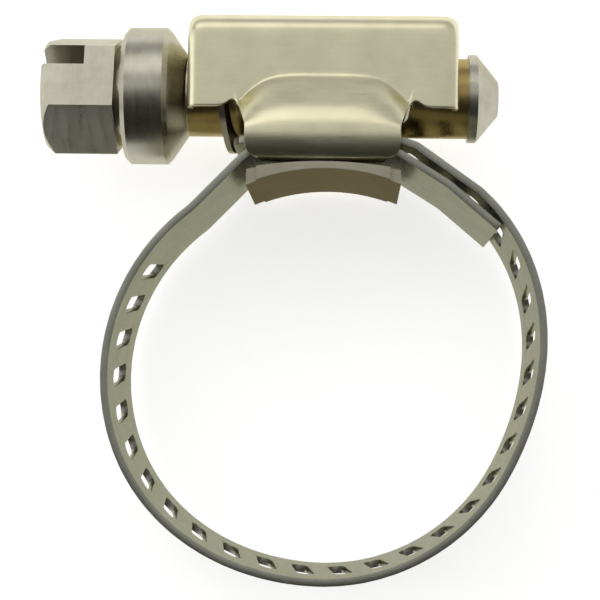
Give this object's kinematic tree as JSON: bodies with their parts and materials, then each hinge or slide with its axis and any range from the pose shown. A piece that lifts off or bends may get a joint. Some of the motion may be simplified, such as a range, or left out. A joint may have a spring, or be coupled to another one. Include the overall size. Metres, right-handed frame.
{
  "type": "hose clamp",
  "caption": "Worm-drive hose clamp: slotted steel band looped through a formed housing, tightened by a collared hex-head screw.",
  "frame": {"origin": "on the hose axis, at the middle of the band's width", "axes": "+Z along the hose axis, +X along the screw from its head to its tip, +Y from the hose axis to the housing"},
  "size_m": [0.0364, 0.0406, 0.0144],
  "materials": {
    "band": "brushed stainless strip",
    "saddle": "stamped stainless",
    "housing": "stamped and tumbled stainless",
    "screw": "cold-headed and plated steel with a warm tint"
  },
  "bodies": {
    "clamp": {"housing": "housing", "saddle": "saddle", "band_loop": "band"},
    "worm": {"screw": "screw"},
    "tail": {"band_tail": "band"}
  },
  "joints": [
    {"name": "screw_turn", "type": "hinge", "parent": "clamp", "child": "worm", "pos_m": [0, 0.0205, 0], "axis": [1, 0, 0], "range_deg": [0, 360]},
    {"name": "tail_slide", "type": "slide", "parent": "clamp", "child": "tail", "axis": [-1, 0, 0], "range_m": [0, 0.0027]}
  ],
  "couplings": [
    {"joint": "tail_slide", "follows": "screw_turn", "m_per_rad": 0.00042972}
  ]
}
